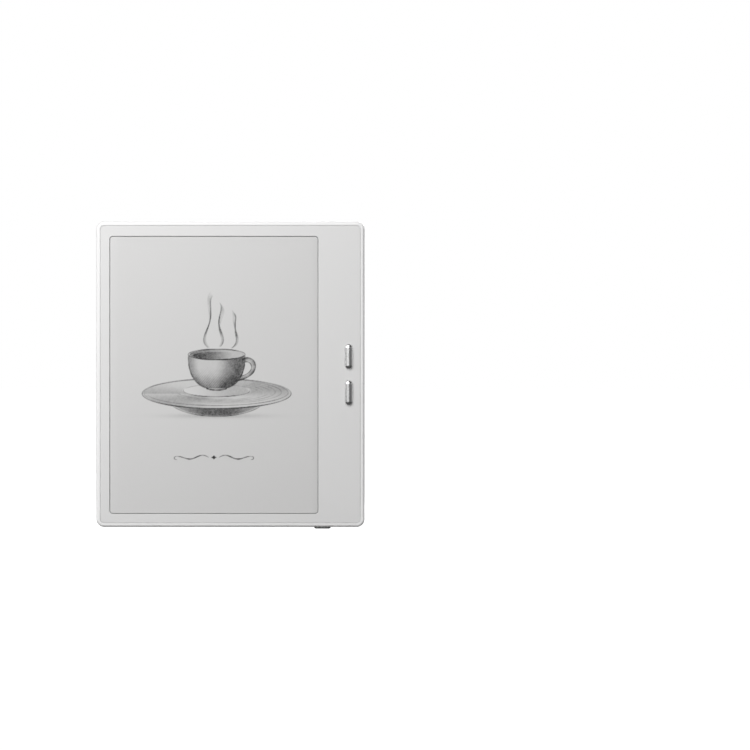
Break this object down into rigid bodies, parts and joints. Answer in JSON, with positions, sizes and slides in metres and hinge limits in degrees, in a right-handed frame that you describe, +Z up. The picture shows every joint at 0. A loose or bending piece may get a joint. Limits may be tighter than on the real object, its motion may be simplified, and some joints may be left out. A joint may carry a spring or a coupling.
{
  "type": "e-reader",
  "caption": "Flat e-paper reader with an off-centre screen, page keys on the wide border, a power key, a charging port, a card tray and a grained two-panel back.",
  "frame": {"origin": "under the middle of the reader, level with its lowest point, the crown of the power key", "axes": "+X to the right and +Z up for someone reading the screen, which faces -Y"},
  "size_m": [0.137, 0.0076, 0.1569],
  "materials": {
    "shell": "satin moulded white",
    "bezel": "fine matt white",
    "grained_panel": "fine leather-like grain, soft matt white",
    "screen": "matt anti-glare, paper grey",
    "clear_sheet": "clear, polished",
    "foam": "light grey closed-cell foam",
    "flex_circuit": "amber polyimide film",
    "paper_panel": "laminated e-paper on a glass backplane, pale grey",
    "plate_metal": "stamped sheet, satin",
    "key_metal": "satin bright plating over moulded keys",
    "dark_plastic": "black moulded",
    "white_plastic": "white moulded",
    "steel": "stamped stainless",
    "circuit_board": "green solder mask",
    "chip": "black moulding compound",
    "rubber": "soft black",
    "battery_pouch": "grey aluminium-laminate pouch",
    "red_wire": "red insulation",
    "black_wire": "black insulation",
    "mesh_fabric": "fine woven dust mesh"
  },
  "bodies": {
    "case": {"back_shell": "shell", "front_bezel": "bezel", "back_panel": "grained_panel", "grip_panel": "grained_panel", "display_cover": "screen", "touch_panel": "clear_sheet", "bezel_gasket": "foam", "light_guide": "clear_sheet", "lamp_strip": "flex_circuit", "e_paper_panel": "paper_panel", "display_flex": "flex_circuit", "support_plate": "plate_metal", "page_up_switch": "steel", "page_down_switch": "steel", "key_board": "circuit_board", "key_board_flex": "flex_circuit", "power_switch": "steel", "power_board": "circuit_board", "power_flex": "flex_circuit", "usb_shell": "steel", "usb_tongue": "dark_plastic", "card_socket": "steel", "lever_pin": "steel", "main_board": "circuit_board", "shield_can": "steel", "processor": "chip", "memory_chip": "chip", "display_connector": "dark_plastic", "microphone": "steel", "microphone_boot": "rubber", "battery": "battery_pouch", "battery_board": "circuit_board", "battery_lead_positive": "red_wire", "battery_lead_negative": "black_wire", "battery_plug": "dark_plastic", "battery_socket": "white_plastic", "speaker_box": "dark_plastic", "speaker_cone": "rubber", "speaker_mesh": "mesh_fabric", "speaker_flex": "flex_circuit", "antenna": "flex_circuit", "antenna_lead": "black_wire", "plate_screw_1": "steel", "plate_screw_2": "steel", "plate_screw_3": "steel", "plate_screw_4": "steel", "plate_screw_5": "steel", "plate_screw_6": "steel", "plate_screw_7": "steel", "board_screw_1": "steel", "board_screw_2": "steel"},
    "page_up": {"page_up_key": "key_metal", "page_up_plunger": "dark_plastic"},
    "page_down": {"page_down_key": "key_metal", "page_down_plunger": "dark_plastic"},
    "power": {"power_key": "key_metal", "power_plunger": "dark_plastic"},
    "tray": {"card_tray": "shell"},
    "rod": {"eject_rod": "steel"},
    "lever": {"eject_lever": "steel"}
  },
  "joints": [
    {"name": "page_up_press", "type": "slide", "parent": "case", "child": "page_up", "axis": [0, 1, 0], "range_m": [0, 0.00035], "stiffness_N_per_m": 4000},
    {"name": "page_down_press", "type": "slide", "parent": "case", "child": "page_down", "axis": [0, 1, 0], "range_m": [0, 0.00035], "stiffness_N_per_m": 4000},
    {"name": "power_press", "type": "slide", "parent": "case", "child": "power", "axis": [0, 0, 1], "range_m": [0, 0.0003], "stiffness_N_per_m": 5000},
    {"name": "tray_slide", "type": "slide", "parent": "case", "child": "tray", "axis": [1, 0, 0], "range_m": [0, 0.022]},
    {"name": "rod_push", "type": "slide", "parent": "case", "child": "rod", "axis": [-1, 0, 0], "range_m": [0, 0.0016]},
    {"name": "lever_turn", "type": "hinge", "parent": "case", "child": "lever", "pos_m": [0.0478, 0.00145, 0.1075], "axis": [0, -1, 0], "range_deg": [0, 17.7]}
  ],
  "couplings": [
    {"joint": "lever_turn", "follows": "rod_push", "rad_per_m": 192.3}
  ]
}
